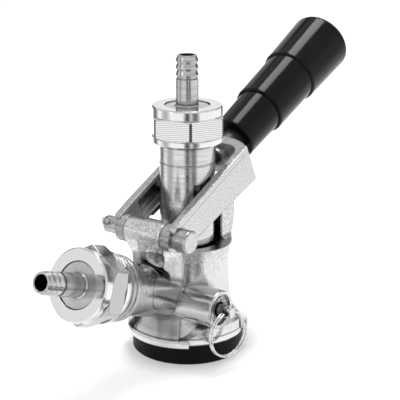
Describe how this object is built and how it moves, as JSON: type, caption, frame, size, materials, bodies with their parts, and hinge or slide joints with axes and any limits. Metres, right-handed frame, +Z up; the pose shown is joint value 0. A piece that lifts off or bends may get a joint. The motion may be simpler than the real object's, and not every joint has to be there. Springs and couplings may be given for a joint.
{
  "type": "keg coupler",
  "caption": "Lever-handled keg coupler: bayonet base with rubber seal, sliding probe with union nut and barb, sprung grip latch, gas inlet, relief valve with pull ring.",
  "frame": {"origin": "on the probe's axis, at the bottom face of the rubber ring under the body", "axes": "+Z up along the probe towards its hose barb; +Y towards the lever's grip; the gas inlet points to -Y and the relief valve to +X"},
  "size_m": [0.0573, 0.198, 0.1281],
  "materials": {
    "cast_chrome": "chrome over a slightly grainy casting",
    "polished_chrome": "polished",
    "nut_chrome": "polished, turned",
    "probe_steel": "finely brushed along its length",
    "stainless": "turned",
    "steel_wire": "bright drawn wire",
    "grip_plastic": "gloss black",
    "black_plastic": "satin black",
    "black_rubber": "satin black",
    "white_rubber": "milky white"
  },
  "bodies": {
    "body": {"body_casting": "cast_chrome", "body_seal": "black_rubber", "hinge_pin": "polished_chrome", "hinge_split_pin": "steel_wire", "gas_check_valve": "white_rubber", "gas_tailpiece": "stainless", "gas_nut": "nut_chrome", "relief_retainer": "stainless", "relief_spring": "steel_wire", "upper_o_ring": "black_rubber", "lower_o_ring": "black_rubber"},
    "relief": {"relief_stem": "stainless", "relief_seal": "black_rubber"},
    "ring": {"pull_ring": "steel_wire"},
    "lever": {"lever_yoke": "polished_chrome", "handle_tube": "black_plastic", "latch_spring": "steel_wire"},
    "grip": {"grip": "grip_plastic", "grip_cap": "grip_plastic", "latch_plunger": "black_plastic", "plunger_nut": "stainless"},
    "probe": {"probe_tube": "probe_steel", "probe_seal": "black_rubber", "beer_washer": "white_rubber", "beer_tailpiece": "stainless", "beer_nut": "nut_chrome", "ball_retainer": "stainless"},
    "ball": {"beer_ball": "stainless"}
  },
  "joints": [
    {"name": "lever_swing", "type": "hinge", "parent": "body", "child": "lever", "pos_m": [0, -0.0253, 0.0563], "axis": [-1, 0, 0], "range_deg": [0, 22]},
    {"name": "probe_slide", "type": "slide", "parent": "body", "child": "probe", "axis": [0, 0, -1], "range_m": [0, 0.0106]},
    {"name": "grip_pull", "type": "slide", "parent": "lever", "child": "grip", "axis": [0, 0.9063, 0.4226], "range_m": [-0.0025, 0.004], "stiffness_N_per_m": 300, "springref_m": -0.0025, "deforming": ["latch_spring"]},
    {"name": "relief_pull", "type": "slide", "parent": "body", "child": "relief", "axis": [1, 0, 0], "range_m": [0, 0.0022], "stiffness_N_per_m": 400, "springref_m": -0.002, "deforming": ["relief_spring"]},
    {"name": "ring_swing", "type": "hinge", "parent": "relief", "child": "ring", "pos_m": [0.0296, -0.0125, 0.0254], "axis": [0, -1, 0], "range_deg": [-12, 95]},
    {"name": "ball_float", "type": "slide", "parent": "probe", "child": "ball", "axis": [0, 0, 1], "range_m": [0, 0.0012]}
  ],
  "couplings": [
    {"joint": "probe_slide", "follows": "lever_swing", "m_per_rad": 0.02742}
  ]
}
